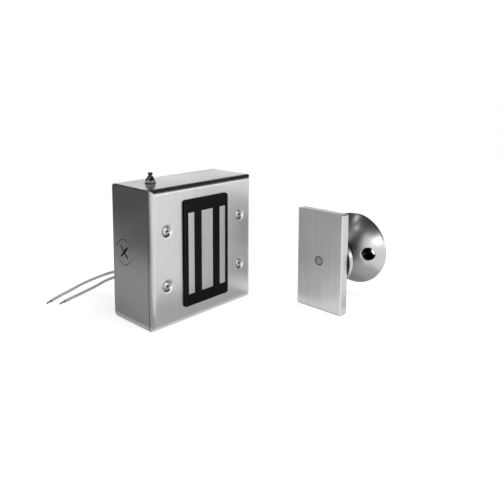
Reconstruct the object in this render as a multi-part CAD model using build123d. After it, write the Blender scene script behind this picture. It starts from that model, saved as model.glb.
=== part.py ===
from build123d import *
import math
import os

# Electromagnetic door holder: a magnet in a surface box for the wall, and a swivelling
# catch plate for the door. Millimetres. +X runs right along the cover, +Z is up and the
# cover faces -Y. The origin is the centre of the box's back face, which lies on the wall.

# Box and cover, folded from one gauge of stainless sheet
case_width = 114.3
case_height = 115.9
box_depth = 49.2
cover_depth = 4.8
sheet = 1.5
box_bend = 3.2
cover_bend = 4.3
seam_gap = 0.2
edge_break = 0.25

# Holes in the back of the box
wall_hole_r = 2.8
wall_hole_span_x = 63.5
wall_hole_span_z = 88.9

# Round knockouts in the two sides
knockout_r = 11.1
knockout_back = 16.0
knockout_up = 1.2
knockout_slit = 0.6
knockout_tab_angle = 38.0
pry_slot_length = 14.0
pry_slot_width = 1.8

# Tapped tabs that take the cover screws
screw_span_x = 83.34
screw_span_z = 46.04
tab_width = 14.0
tab_past_screw = 5.5
tab_leg = 14.0
tab_bend = 1.0

# Cover screws and their pressed dimples
screw_shank_r = 1.75
screw_length = 9.5
screw_head_r = 3.6
screw_head_rise = 0.95
screw_recess_span = 3.9
screw_recess_width = 1.0
screw_recess_depth = 1.3
screw_recess_turn = 20.0
dimple_r = 5.3
dimple_hole_r = 2.15
dimple_depth = 2.6
dimple_lip_r = 2.4
dimple_boss_wall = 0.9
thread_clearance = 0.05

# Magnet: E-shaped core, coil and moulded case
face_proud = 2.3
magnet_width = 50.0
magnet_height = 90.8
magnet_depth = 36.0
magnet_wall = 2.0
magnet_front_wall = 3.0
magnet_corner_r = 2.0
magnet_edge_r = 0.5
window_gap = 0.4
pole_height = 69.8
centre_pole_width = 12.6
side_pole_width = 6.3
pole_pitch = 17.9
pole_gap = 0.15
pole_length = 27.0
yoke_thickness = 7.0
bobbin_wall = 0.9
bobbin_gap = 0.3
bobbin_flange = 1.0
bobbin_setback = 0.2
winding_inset = 0.4
winding_corner_r = 4.5
coil_entry_x = 10.0
coil_entry_z = 39.5
coil_entry_r = 1.6

# Bracket that holds the magnet off the back of the box
bracket_width = 30.0
bracket_span = 60.0
bracket_gauge = 2.0
bracket_foot = 16.0
bracket_bend = 3.0
stud_r = 2.0
stud_height = 9.0
stud_hole_gap = 0.2
nut_flats = 7.0
nut_height = 3.2
nut_bevel = 0.5
core_screw_r = 2.5
core_screw_head_r = 4.4
core_screw_head = 2.4
core_screw_bite = 5.5
core_screw_span = 36.0
core_screw_slot = 1.2
core_screw_gap = 0.5

# Push button on the top of the box
button_inset = 21.65
button_back = 24.6
switch_width = 12.7
switch_thickness = 9.0
switch_height = 11.0
switch_cavity_r = 2.85
switch_corner_r = 0.8
bushing_r = 3.0
bushing_height = 5.6
bushing_chamfer = 0.5
plunger_r = 1.5
plunger_gap = 0.25
plunger_rise = 3.7
cap_r = 2.1
cap_height = 2.0
cap_round = 0.6
collar_r = 2.5
collar_height = 1.2
button_travel = 1.5
button_gap = 0.35
spring_wire_r = 0.22
spring_coil_r = 2.2
spring_turns = 5.0
spring_seat_gap = 0.02
spring_shut = 4.15
washer_r = 4.6
washer_height = 0.7
washer_teeth = 12
tooth_depth = 0.8
tooth_width = 0.9
switch_nut_flats = 8.0
switch_nut_height = 3.6
switch_nut_bevel = 2.4
switch_nut_top_r = 3.4
terminal_pitch = 5.0
terminal_width = 1.9
terminal_thickness = 0.6
terminal_length = 5.5

# Leads, their grommet and the wires inside
lead_r = 1.25
lead_1_x = -38.0
lead_1_z = -24.0
lead_2_x = -35.0
lead_2_z = -28.0
tip_r = 0.65
tip_length = 6.0
link_wire_r = 0.9
grommet_neck_r = 4.7
grommet_flange_r = 6.8
grommet_flange = 1.4
grommet_edge = 0.5
grommet_gap = 0.05
floor_gap = 0.05
wire_run_depth = 13.0
lead_2_entry_depth = 9.0
lead_2_bend_x = -24.0
lead_2_bend_z = -37.0
link_drop = 9.0
link_bend_x = -27.0
link_bend_z = 28.0

# Catch plate on its ball joint
plate_width = 47.6
plate_height = 88.9
plate_thickness = 9.5
plate_edge = 0.7
plate_x = 74.0
plate_y = -120.5
pin_r = 3.6
pin_pocket_r = 3.9
pin_head = 4.4
pin_shank_r = 2.5
pin_reach = 29.0
pin_chamfer = 0.3
disc_r = 26.0
disc_thickness = 5.5
disc_edge = 0.8
spin_gap = 0.3
shaft_clearance = 0.08
stud_collar_r = 10.0
stud_collar = 3.0
shank_r = 6.5
shank_end_depth = 33.0
neck_depth = 38.0
neck_r = 3.3
ball_r = 6.0
ball_depth = 49.0
liner_gap = 0.2
liner_thickness = 1.2
liner_half_width = 3.9
swivel_range = 8.0

# Domed foot for the door
foot_r = 33.35
foot_back_gap = 2.5
foot_rim = 2.3
rim_round = 0.9
dome_rise = 14.6
dome_top_r = 8.0
throat_r = 5.2
throat_chamfer = 0.7
foot_hole_r = 2.75
foot_hole_pitch_r = 20.8
foot_hole_count = 3
counterbore_r = 5.6
counterbore_floor = 2.4
counterbore_chamfer = 0.6
plug_bore_r = 10.0
plug_gap = 0.1
plug_front_gap = 1.4
plug_liner_gap = 0.3
plug_ball_gap = 0.4
plug_back_wall = 1.0
cup_spring_gauge = 0.6
cup_spring_height = 0.9
cup_spring_bore_r = 5.0
snap_ring_groove = 0.8
snap_ring_width = 2.2
snap_ring_gauge = 1.0
snap_ring_mouth = 44.0
snap_ring_eye_r = 0.6

# Places worked out from the sizes above
floor_z = -case_height / 2
inner_x = case_width / 2 - sheet
inner_z = case_height / 2 - sheet
joint_y = -box_depth
front_y = joint_y - cover_depth
face_y = front_y - face_proud
magnet_back_y = face_y + magnet_depth
pole_root_y = face_y + pole_length
yoke_back_y = pole_root_y + yoke_thickness
back_inner_y = -sheet
plate_z = floor_z + plate_height / 2
button_y = -button_back
top_z = case_height / 2
button_x = -case_width / 2 + button_inset
switch_cavity_depth = button_gap + collar_height + button_travel + spring_shut
liner_inner_r = ball_r + liner_gap
liner_outer_r = liner_inner_r + liner_thickness
seat_r = liner_outer_r + liner_gap
plug_front_depth = ball_depth + plug_front_gap
liner_rim_r = math.sqrt(liner_outer_r ** 2 - liner_half_width ** 2)
liner_swing = (liner_half_width * math.cos(math.radians(swivel_range))
               + liner_rim_r * math.sin(math.radians(swivel_range)))
plug_liner_depth = ball_depth + liner_swing + plug_liner_gap
plug_back_depth = ball_depth + ball_r + plug_back_wall
foot_depth = plug_back_depth + foot_back_gap


def block(x0, x1, y0, y1, z0, z1):
    """A box between two corners."""
    size = (abs(x1 - x0), abs(y1 - y0), abs(z1 - z0))
    return Pos((x0 + x1) / 2, (y0 + y1) / 2, (z0 + z1) / 2) * Box(*size)


def rod_y(radius, y0, y1, x=0.0, z=0.0):
    """A round bar along Y."""
    middle = Pos(x, (y0 + y1) / 2, z)
    return middle * Rot(90, 0, 0) * Cylinder(radius, abs(y1 - y0))


def rod_z(radius, z0, z1, x=0.0, y=0.0):
    """A round bar along Z."""
    return Pos(x, y, (z0 + z1) / 2) * Cylinder(radius, abs(z1 - z0))


def turned_y(outline, x=0.0, z=0.0):
    """A turned shape about a line along Y, from (radius, y) points."""
    face = make_face(Polyline(*[(r, y, 0) for r, y in outline], close=True))
    return Pos(x, 0, z) * revolve(face, Axis.Y)


def turned_z(outline, x=0.0, y=0.0):
    """A turned shape about a line along Z, from (radius, z) points."""
    face = make_face(Polyline(*[(r, 0, z) for r, z in outline], close=True))
    return Pos(x, y, 0) * revolve(face, Axis.Z)


def hexagon_z(flats, bore_r, z0, z1, top_r, bevel):
    """A hexagon nut standing along Z, bevelled to a top radius over a height."""
    nut = Pos(0, 0, z0) * extrude(RegularPolygon(flats / 2, 6, major_radius=False), z1 - z0)
    corner_r = flats / math.sqrt(3)
    crown = turned_z([(0, z0), (corner_r, z0), (corner_r, z1 - bevel), (top_r, z1), (0, z1)])
    return (nut & crown) - rod_z(bore_r, z0 - 1, z1 + 1)


def folded_strip(points, gauge, width, inner_bend, across):
    """A strip of sheet folded along the points of its middle line, as wide as said across it."""
    line = FilletPolyline(*points, radius=inner_bend + gauge / 2)
    end = Plane(origin=line @ 0, x_dir=across, z_dir=line % 0)
    return sweep(end * Rectangle(width, gauge), line)


def wire(points, radius):
    """A round wire along straight runs with an arc at each corner, and its arc radii."""
    spots = [Vector(*p) for p in points]
    radii = []
    for before, here, after in zip(spots, spots[1:], spots[2:]):
        turn = math.radians((here - before).get_angle(after - here))
        run = min((here - before).length, (after - here).length)
        radii.append(0.45 * run / math.tan(turn / 2))
    path = FilletPolyline(*spots, radius=radii)
    section = Plane(origin=path @ 0, z_dir=path % 0) * Circle(radius)
    return sweep(section, path), path, radii


def door_side(shape):
    """Puts a shape made about Z, from the catch face at z 0, in its place on the door unit."""
    place = Plane(origin=(plate_x, plate_y, plate_z), x_dir=(0, -1, 0), z_dir=(1, 0, 0))
    return place.location * shape


def box_wrap():
    """Top, back and bottom of the box, one folded sheet."""
    outer = block(-case_width / 2, case_width / 2, joint_y, 0, floor_z, top_z)
    outer = fillet(outer.edges().filter_by(Axis.X).group_by(Axis.Y)[-1], box_bend)
    ends = outer.faces().filter_by(Axis.X).edges()
    fronts = outer.edges().filter_by(Axis.X).group_by(Axis.Y)[0]
    outer = chamfer(ends + fronts, edge_break)
    inner = block(-case_width, case_width, joint_y - 1, back_inner_y, -inner_z, inner_z)
    inner = fillet(inner.edges().filter_by(Axis.X).group_by(Axis.Y)[-1], box_bend - sheet)
    wrap = outer - inner
    for sx in (-1, 1):
        for sz in (-1, 1):
            spot = (sx * wall_hole_span_x / 2, sz * wall_hole_span_z / 2)
            wrap -= rod_y(wall_hole_r, -2 * sheet, 1, spot[0], spot[1])
    wrap -= rod_y(grommet_neck_r + grommet_gap, -2 * sheet, 1, *grommet_centre())
    wrap -= rod_z(bushing_r + thread_clearance, inner_z - 1, top_z + 1, button_x, button_y)
    return wrap


def grommet_centre():
    """Middle of the two leads on the back of the box, as (x, z)."""
    return (lead_1_x + lead_2_x) / 2, (lead_1_z + lead_2_z) / 2


def knockout_cut():
    """Slits and pry slot of a knockout, in its own XY plane, for a cut through the sheet."""
    ring = Circle(knockout_r) - Circle(knockout_r - knockout_slit)
    tab = math.tan(math.radians(knockout_tab_angle / 2)) * knockout_r * 2
    ring -= Rectangle(2 * knockout_r + 2, tab)
    cross = Rectangle(pry_slot_length, pry_slot_width)
    cross += Rot(0, 0, 90) * Rectangle(pry_slot_length, pry_slot_width)
    return ring + Rot(0, 0, 45) * cross


def side_plate(side):
    """End wall welded inside the wrap, with a knockout. side is -1 or 1."""
    outer_x = side * case_width / 2
    wall = block(outer_x, side * inner_x, joint_y, back_inner_y, -inner_z, inner_z)
    back_edges = wall.edges().filter_by(Axis.X).group_by(Axis.Y)[-1]
    wall = fillet(back_edges, box_bend - sheet + seam_gap)
    outside = wall.faces().filter_by(Axis.X).sort_by(Axis.X)[-1 if side > 0 else 0]
    wall = chamfer(outside.edges(), edge_break)
    cut_place = Plane(origin=(outer_x, -knockout_back, knockout_up), x_dir=(0, 1, 0), z_dir=(1, 0, 0))
    return wall - extrude(cut_place * knockout_cut(), 2 * sheet, both=True)


def screw_tabs():
    """Four folded tabs welded inside the side plates, tapped for the cover screws."""
    tabs = []
    for sx in (-1, 1):
        leg_x = sx * (inner_x - sheet / 2)
        for sz in (-1, 1):
            z = sz * screw_span_z / 2
            ear_y = joint_y + sheet / 2
            end_x = sx * (screw_span_x / 2 - tab_past_screw)
            points = [(leg_x, joint_y + tab_leg, z), (leg_x, ear_y, z), (end_x, ear_y, z)]
            tab = folded_strip(points, sheet, tab_width, tab_bend, (0, 0, 1))
            tabs.append(tab - rod_y(screw_shank_r + thread_clearance, joint_y - 1, joint_y + 2 * sheet,
                                    sx * screw_span_x / 2, z))
    return Compound(children=tabs)


def cover_plate():
    """Shallow pan with rolled edges, a window for the magnet and four pressed dimples."""
    half_x = case_width / 2
    pan = block(-half_x, half_x, front_y, joint_y, floor_z, top_z)
    pan = fillet(pan.faces().sort_by(Axis.Y)[0].edges(), cover_bend)
    pan = chamfer(pan.faces().sort_by(Axis.Y)[-1].edges(), edge_break)
    hollow = block(-inner_x, inner_x, front_y + sheet, joint_y + 1, -inner_z, inner_z)
    hollow = fillet(hollow.faces().sort_by(Axis.Y)[0].edges(), cover_bend - sheet)
    pan -= hollow
    for sx in (-1, 1):
        for sz in (-1, 1):
            x = sx * screw_span_x / 2
            z = sz * screw_span_z / 2
            boss_r = dimple_r + dimple_boss_wall
            floor_y = front_y + dimple_depth
            pan += turned_y([(0, front_y + sheet / 2), (boss_r, front_y + sheet / 2), (boss_r, front_y + sheet),
                             (dimple_hole_r + sheet, floor_y), (0, floor_y)], x, z)
            pan -= turned_y([(0, front_y - 1), (dimple_r, front_y - 1), (dimple_r, front_y),
                             (dimple_hole_r, floor_y), (dimple_hole_r, joint_y), (0, joint_y)], x, z)
    circles = pan.edges().filter_by(GeomType.CIRCLE)
    lips = [e for e in circles if abs(e.radius - dimple_r) < 0.01 and abs(e.center().Y - front_y) < 0.01]
    pan = fillet(lips, dimple_lip_r)
    width = magnet_width + 2 * window_gap
    height = magnet_height + 2 * window_gap
    window = RectangleRounded(width, height, magnet_corner_r + window_gap)
    hole = Plane(origin=(0, front_y - 1, 0), x_dir=(1, 0, 0), z_dir=(0, 1, 0)) * window
    return pan - extrude(hole, cover_depth + 2)


def cover_screws():
    """Four oval-head screws with cross recesses."""
    slope = (dimple_r - dimple_hole_r) / dimple_depth
    rim_y = front_y + (dimple_r - screw_head_r) / slope
    neck_y = rim_y + (screw_head_r - screw_shank_r) / slope
    end_y = front_y + screw_length
    top_y = rim_y - screw_head_rise
    crown_r = (screw_head_r ** 2 + screw_head_rise ** 2) / (2 * screw_head_rise)
    half_y = top_y + crown_r - math.sqrt(crown_r ** 2 - screw_head_r ** 2 / 4)
    crown = ThreePointArc((0, top_y), (screw_head_r / 2, half_y), (screw_head_r, rim_y))
    side = Polyline((screw_head_r, rim_y), (screw_shank_r, neck_y), (screw_shank_r, end_y), (0, end_y),
                    (0, top_y))
    blank = revolve(make_face(crown.edges() + side.edges()), Axis.Y)
    for turn in (0, 90):
        arm = Box(screw_recess_span, 2 * screw_recess_depth, screw_recess_width)
        blank -= Pos(0, top_y, 0) * Rot(0, turn + screw_recess_turn, 0) * arm
    screws = [Pos(sx * screw_span_x / 2, 0, sz * screw_span_z / 2) * blank for sx in (-1, 1) for sz in (-1, 1)]
    return Compound(children=screws)


def magnet_case():
    """Moulded cup, open at the back, with three slots for the poles."""
    face = Plane(origin=(0, face_y, 0), x_dir=(1, 0, 0), z_dir=(0, 1, 0))
    cup = extrude(face * RectangleRounded(magnet_width, magnet_height, magnet_corner_r), magnet_depth)
    cup = fillet(cup.faces().sort_by(Axis.Y)[0].edges(), magnet_edge_r)
    inside = Plane(origin=(0, face_y + magnet_front_wall, 0), x_dir=(1, 0, 0), z_dir=(0, 1, 0))
    cup -= extrude(inside * Rectangle(magnet_width - 2 * magnet_wall, magnet_height - 2 * magnet_wall),
                   magnet_depth)
    for x, width in poles():
        cup -= block(x - width / 2 - pole_gap, x + width / 2 + pole_gap, face_y - 1,
                     face_y + magnet_front_wall + 1, -pole_height / 2 - pole_gap, pole_height / 2 + pole_gap)
    return cup


def poles():
    """Middle and width of each pole of the core."""
    return [(-pole_pitch, side_pole_width), (0, centre_pole_width), (pole_pitch, side_pole_width)]


def magnet_core():
    """E-shaped steel core: a yoke with three poles, tapped at the back."""
    half_width = pole_pitch + side_pole_width / 2
    half_height = pole_height / 2
    core = block(-half_width, half_width, pole_root_y, yoke_back_y, -half_height, half_height)
    for x, width in poles():
        core += block(x - width / 2, x + width / 2, face_y, pole_root_y, -half_height, half_height)
    for sz in (-1, 1):
        core -= rod_y(core_screw_r + thread_clearance, yoke_back_y - core_screw_bite, yoke_back_y + 1,
                      0, sz * core_screw_span / 2)
    return core


def bobbin_limits():
    """Inner and outer half sizes of the bobbin, and its front and back in Y."""
    inner = (centre_pole_width / 2 + bobbin_gap, pole_height / 2 + bobbin_gap)
    outer = (pole_pitch - side_pole_width / 2 - bobbin_gap, magnet_height / 2 - magnet_wall - bobbin_gap)
    return inner, outer, face_y + magnet_front_wall + bobbin_setback, pole_root_y - bobbin_setback


def coil_bobbin():
    """Rectangular spool round the centre pole."""
    inner, outer, y0, y1 = bobbin_limits()
    tube = (inner[0] + bobbin_wall, inner[1] + bobbin_wall)
    spool = block(-tube[0], tube[0], y0, y1, -tube[1], tube[1])
    spool += block(-outer[0], outer[0], y0, y0 + bobbin_flange, -outer[1], outer[1])
    spool += block(-outer[0], outer[0], y1 - bobbin_flange, y1, -outer[1], outer[1])
    spool -= block(-inner[0], inner[0], y0 - 1, y1 + 1, -inner[1], inner[1])
    for sz in (-1, 1):
        spool -= rod_y(coil_entry_r, y1 - 2 * bobbin_flange, y1 + 1, -coil_entry_x, sz * coil_entry_z)
    return spool


def coil_winding():
    """Enamelled copper wire wound on the spool, as one ring."""
    inner, outer, y0, y1 = bobbin_limits()
    start = y0 + bobbin_flange
    plane = Plane(origin=(0, start, 0), x_dir=(1, 0, 0), z_dir=(0, 1, 0))
    ring = RectangleRounded(2 * (outer[0] - winding_inset), 2 * (outer[1] - winding_inset), winding_corner_r)
    ring -= Rectangle(2 * (inner[0] + bobbin_wall), 2 * (inner[1] + bobbin_wall))
    return extrude(plane * ring, y1 - y0 - 2 * bobbin_flange)


def potting_plug():
    """Compound that seals the back of the magnet case."""
    half_x = magnet_width / 2 - magnet_wall
    half_z = magnet_height / 2 - magnet_wall
    plug = block(-half_x, half_x, yoke_back_y, magnet_back_y, -half_z, half_z)
    for sz in (-1, 1):
        plug -= rod_y(core_screw_r + stud_hole_gap, yoke_back_y - 1, magnet_back_y + 1,
                      0, sz * core_screw_span / 2)
        plug -= rod_y(coil_entry_r, yoke_back_y - 1, magnet_back_y + 1, -coil_entry_x, sz * coil_entry_z)
    return plug


def magnet_bracket():
    """Folded hat-shaped strap from the back of the box to the magnet."""
    half = bracket_span / 2
    mid = bracket_gauge / 2
    foot_y = back_inner_y - mid
    crown_y = magnet_back_y + mid
    points = [(0, foot_y, -half - bracket_foot), (0, foot_y, -half), (0, crown_y, -half),
              (0, crown_y, half), (0, foot_y, half), (0, foot_y, half + bracket_foot)]
    strap = folded_strip(points, bracket_gauge, bracket_width, bracket_bend - mid, (1, 0, 0))
    for sz in (-1, 1):
        strap -= rod_y(stud_r + stud_hole_gap, -4 * sheet, 0, 0, sz * stud_z())
        strap -= rod_y(core_screw_r + stud_hole_gap, magnet_back_y - 1, magnet_back_y + 2 * bracket_gauge,
                       0, sz * core_screw_span / 2)
    return strap


def stud_z():
    """Height of the weld studs, at the middle of the bracket's feet."""
    return bracket_span / 2 + bracket_foot / 2 + bracket_bend / 2


def weld_studs():
    """Two threaded studs welded inside the back of the box."""
    studs = [rod_y(stud_r, back_inner_y, back_inner_y - stud_height, 0, sz * stud_z()) for sz in (-1, 1)]
    return Compound(children=studs)


def bracket_nuts():
    """Two hexagon nuts on the weld studs."""
    start = back_inner_y - bracket_gauge
    nuts = []
    for sz in (-1, 1):
        nut = hexagon_z(nut_flats, stud_r + thread_clearance, 0, nut_height, nut_flats / 2, nut_bevel)
        nuts.append(Pos(0, start, sz * stud_z()) * Rot(90, 0, 0) * nut)
    return Compound(children=nuts)


def core_screws():
    """Two slotted screws that pull the core against the bracket."""
    seat = magnet_back_y + bracket_gauge
    screws = []
    for sz in (-1, 1):
        z = sz * core_screw_span / 2
        screw = rod_y(core_screw_r, yoke_back_y - core_screw_bite + core_screw_gap, seat, 0, z)
        screw += rod_y(core_screw_head_r, seat, seat + core_screw_head, 0, z)
        slot_top = seat + core_screw_head
        screw -= block(-core_screw_head_r, core_screw_head_r, slot_top - core_screw_slot, slot_top + 1,
                       z - core_screw_slot / 2, z + core_screw_slot / 2)
        screws.append(screw)
    return Compound(children=screws)


def switch_body():
    """Moulded block under the top of the box, hollow for the plunger and its spring."""
    top = inner_z
    body = block(button_x - switch_width / 2, button_x + switch_width / 2,
                 button_y - switch_thickness / 2, button_y + switch_thickness / 2, top - switch_height, top)
    body = fillet(body.edges().filter_by(Axis.Z), switch_corner_r)
    return body - rod_z(switch_cavity_r, top - switch_cavity_depth, top + 1, button_x, button_y)


def switch_bushing():
    """Threaded sleeve through the top of the box."""
    bore = plunger_r + plunger_gap
    z1 = top_z + bushing_height
    return turned_z([(bore, inner_z), (bushing_r, inner_z), (bushing_r, z1 - bushing_chamfer),
                     (bushing_r - bushing_chamfer, z1), (bore, z1)], button_x, button_y)


def lock_washer():
    """Toothed washer under the nut."""
    washer = rod_z(washer_r, top_z, top_z + washer_height)
    washer -= rod_z(bushing_r + thread_clearance, top_z - 1, top_z + 2)
    for k in range(washer_teeth):
        gap = Pos(washer_r, 0, top_z) * Box(2 * tooth_depth, tooth_width, 4)
        washer -= Rot(0, 0, 360 * k / washer_teeth) * gap
    return Pos(button_x, button_y, 0) * washer


def switch_nut():
    """Hexagon nut that clamps the switch."""
    z0 = top_z + washer_height
    nut = hexagon_z(switch_nut_flats, bushing_r + thread_clearance, z0, z0 + switch_nut_height,
                    switch_nut_top_r, switch_nut_bevel)
    return Pos(button_x, button_y, 0) * nut


def push_button():
    """Plunger with a cap over the bushing and a collar under it."""
    collar_top = inner_z - button_gap
    cap_top = top_z + bushing_height + plunger_rise
    return turned_z([(0, collar_top - collar_height), (collar_r, collar_top - collar_height),
                     (collar_r, collar_top), (plunger_r, collar_top), (plunger_r, cap_top - cap_height),
                     (cap_r, cap_top - cap_height), (cap_r, cap_top - cap_round),
                     (cap_r - cap_round, cap_top), (0, cap_top)], button_x, button_y)


def button_spring():
    """Coil spring under the plunger's collar."""
    z0 = inner_z - switch_cavity_depth + spring_wire_r + spring_seat_gap
    z1 = inner_z - button_gap - collar_height - spring_wire_r - spring_seat_gap
    height = z1 - z0
    coil = Helix(pitch=height / spring_turns, height=height, radius=spring_coil_r)
    section = Plane(origin=coil @ 0, z_dir=coil % 0) * Circle(spring_wire_r)
    return Pos(button_x, button_y, z0) * sweep(section, coil, is_frenet=True)


def switch_terminals():
    """Two tinned blades under the switch."""
    top = inner_z - switch_height
    blades = []
    for side in (-1, 1):
        x = button_x + side * terminal_pitch / 2
        blades.append(block(x - terminal_width / 2, x + terminal_width / 2,
                            button_y - terminal_thickness / 2, button_y + terminal_thickness / 2,
                            top - terminal_length, top))
    return Compound(children=blades)


def wire_grommet():
    """Rubber grommet, flush with the back of the box, with a hole for each lead."""
    x, z = grommet_centre()
    flange_y = back_inner_y - grommet_flange
    grommet = turned_y([(0, 0), (grommet_neck_r, 0), (grommet_neck_r, back_inner_y),
                        (grommet_flange_r, back_inner_y), (grommet_flange_r, flange_y + grommet_edge),
                        (grommet_flange_r - grommet_edge, flange_y), (0, flange_y)], x, z)
    for lx, lz in ((lead_1_x, lead_1_z), (lead_2_x, lead_2_z)):
        grommet -= rod_y(lead_r + grommet_gap, flange_y - 1, 1, lx, lz)
    return grommet


def lead_routes():
    """Chosen points of the two leads behind the box, from the grommet to the stripped ends."""
    z = floor_z + lead_r + floor_gap
    first = [(lead_1_x, 0, lead_1_z), (-38, 12, -24), (-37, 28, -31.5), (-34.5, 45, -39.5),
             (-35.5, 61.5, -47), (-43, 73.5, -53), (-56.5, 77, z), (-70, 71.7, z), (-82, 65.8, z)]
    second = [(lead_2_x, 0, lead_2_z), (-35, 12, -28), (-37.3, 28, -37), (-38.4, 42.5, -44.3),
              (-42.5, 54.5, -51.2), (-51, 60.6, -55.4), (-62.5, 60, z), (-74, 55.8, z)]
    return first, second


def leads():
    """Both leads, each with its stripped and tinned end."""
    made = {}
    for number, points in enumerate(lead_routes(), start=1):
        tube, path, radii = wire(points, lead_r)
        print("lead", number, "length", round(path.length, 2), "radii", [round(r, 1) for r in radii],
              "volume ratio", round(tube.volume / (math.pi * lead_r ** 2 * path.length), 4))
        made["lead_%d" % number] = tube
        end = Plane(origin=path @ 1, z_dir=path % 1)
        made["lead_%d_tip" % number] = extrude(end * Circle(tip_r), tip_length)
    return made


def inner_lead_1():
    """First lead inside the box, from the grommet to the switch."""
    x = button_x - terminal_pitch / 2
    bottom = inner_z - switch_height - terminal_length
    points = [(lead_1_x, 0, lead_1_z), (lead_1_x, -wire_run_depth, lead_1_z),
              (x, button_y, lead_1_z + wire_run_depth), (x, button_y, bottom)]
    return wire(points, lead_r)[0]


def inner_lead_2():
    """Second lead inside the box, from the grommet to the coil."""
    end_y = bobbin_limits()[3] - bobbin_flange
    points = [(lead_2_x, 0, lead_2_z), (lead_2_x, -lead_2_entry_depth, lead_2_z),
              (lead_2_bend_x, -wire_run_depth, lead_2_bend_z),
              (-coil_entry_x, -wire_run_depth, -coil_entry_z), (-coil_entry_x, end_y, -coil_entry_z)]
    return wire(points, lead_r)[0]


def link_wire():
    """Wire from the switch's other blade to the coil."""
    x = button_x + terminal_pitch / 2
    bottom = inner_z - switch_height - terminal_length
    end_y = bobbin_limits()[3] - bobbin_flange
    points = [(x, button_y, bottom), (x, button_y, bottom - link_drop),
              (link_bend_x, -wire_run_depth, link_bend_z),
              (-coil_entry_x, -wire_run_depth, coil_entry_z), (-coil_entry_x, end_y, coil_entry_z)]
    return wire(points, link_wire_r)[0]


def catch_plate():
    """Ground steel plate that the magnet holds."""
    plate = Pos(0, 0, plate_thickness / 2) * Box(plate_width, plate_height, plate_thickness)
    plate = chamfer(plate.edges(), plate_edge)
    plate -= rod_z(pin_pocket_r, -1, pin_head)
    plate -= rod_z(pin_shank_r + shaft_clearance, 0, plate_thickness + 1)
    return door_side(plate)


def plate_pin():
    """Flush pin through the plate into the ball stud."""
    return door_side(turned_z([(0, 0), (pin_r - pin_chamfer, 0), (pin_r, pin_chamfer), (pin_r, pin_head),
                               (pin_shank_r, pin_head), (pin_shank_r, pin_reach), (0, pin_reach)]))


def backing_disc():
    """Round disc that stiffens the plate behind."""
    z0 = plate_thickness
    z1 = plate_thickness + disc_thickness
    bore = pin_shank_r + shaft_clearance
    return door_side(turned_z([(bore, z0), (disc_r, z0), (disc_r, z1 - disc_edge), (disc_r - disc_edge, z1),
                               (bore, z1)]))


def ball_stud():
    """Turned stud: a collar, a shank bored for the plate's pin, a neck and a ball."""
    z0 = plate_thickness + disc_thickness + spin_gap
    stud = turned_z([(0, z0), (stud_collar_r, z0), (stud_collar_r, z0 + stud_collar),
                     (shank_r, z0 + stud_collar), (shank_r, shank_end_depth), (neck_r, neck_depth),
                     (neck_r, ball_depth), (0, ball_depth)])
    stud += Pos(0, 0, ball_depth) * Sphere(ball_r)
    return door_side(stud - rod_z(pin_shank_r + shaft_clearance, z0 - 1, pin_reach + 1))


def swivel_liner():
    """Nylon band between the ball and its seat."""
    liner = Sphere(liner_outer_r) - Sphere(liner_inner_r)
    liner &= Box(4 * liner_outer_r, 4 * liner_outer_r, 2 * liner_half_width)
    return door_side(Pos(0, 0, ball_depth) * liner)


def dome_section():
    """Half section of the solid dome in the XZ plane: a shallow crown over a plain rim."""
    edge_z = foot_depth - foot_rim
    crown_r = (foot_r ** 2 + dome_rise ** 2) / (2 * dome_rise)
    centre_z = edge_z - dome_rise + crown_r

    def crown_z(r):
        return centre_z - math.sqrt(crown_r ** 2 - r ** 2)

    middle_r = (dome_top_r + foot_r) / 2
    crown = ThreePointArc((dome_top_r, 0, crown_z(dome_top_r)), (middle_r, 0, crown_z(middle_r)),
                          (foot_r, 0, edge_z))
    rest = Polyline((foot_r, 0, edge_z), (foot_r, 0, foot_depth), (0, 0, foot_depth),
                    (0, 0, crown_z(dome_top_r)), (dome_top_r, 0, crown_z(dome_top_r)))
    return make_face(crown.edges() + rest.edges()), crown_z(dome_top_r)


def door_foot():
    """Turned dome with the front half of the ball seat and three counterbored screw holes."""
    section, top_depth = dome_section()
    foot = revolve(section, Axis.Z)
    rim = [e for e in foot.edges() if abs((e @ 0).Z - foot_depth + foot_rim) < 0.01]
    foot = fillet(rim, rim_round)
    mouth_z = ball_depth - math.sqrt(seat_r ** 2 - throat_r ** 2)
    foot -= Pos(0, 0, ball_depth) * Sphere(seat_r) & rod_z(2 * seat_r, mouth_z, ball_depth)
    foot -= rod_z(throat_r, top_depth - 1, mouth_z + 1)
    foot -= turned_z([(0, top_depth - 1), (throat_r + throat_chamfer + 1, top_depth - 1),
                      (throat_r, top_depth + throat_chamfer), (0, top_depth + throat_chamfer)])
    foot -= rod_z(seat_r, ball_depth, foot_depth + 1)
    foot -= rod_z(plug_bore_r, plug_front_depth, foot_depth + 1)
    groove_z = plug_back_depth + cup_spring_height
    foot -= rod_z(plug_bore_r + snap_ring_groove, groove_z, groove_z + snap_ring_gauge)
    floor_depth = foot_depth - counterbore_floor
    for k in range(foot_hole_count):
        cut = rod_z(foot_hole_r, floor_depth - 1, foot_depth + 1, foot_hole_pitch_r)
        cut += rod_z(counterbore_r, top_depth - 1, floor_depth, foot_hole_pitch_r)
        foot -= Rot(0, 0, 360 * k / foot_hole_count) * cut
    return door_side(chamfer(counterbore_mouths(foot, floor_depth), counterbore_chamfer))


def counterbore_mouths(foot, floor_depth):
    """Edges where the counterbores leave the dome."""
    mouths = []
    for edge in foot.edges():
        spot = edge @ 0.5
        for k in range(foot_hole_count):
            angle = 2 * math.pi * k / foot_hole_count
            axis = (foot_hole_pitch_r * math.cos(angle), foot_hole_pitch_r * math.sin(angle))
            reach = math.hypot(spot.X - axis[0], spot.Y - axis[1])
            on_wall = abs(reach - counterbore_r) < 0.01 and edge.geom_type != GeomType.LINE
            if on_wall and spot.Z < floor_depth - counterbore_chamfer:
                mouths.append(edge)
    return mouths


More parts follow.
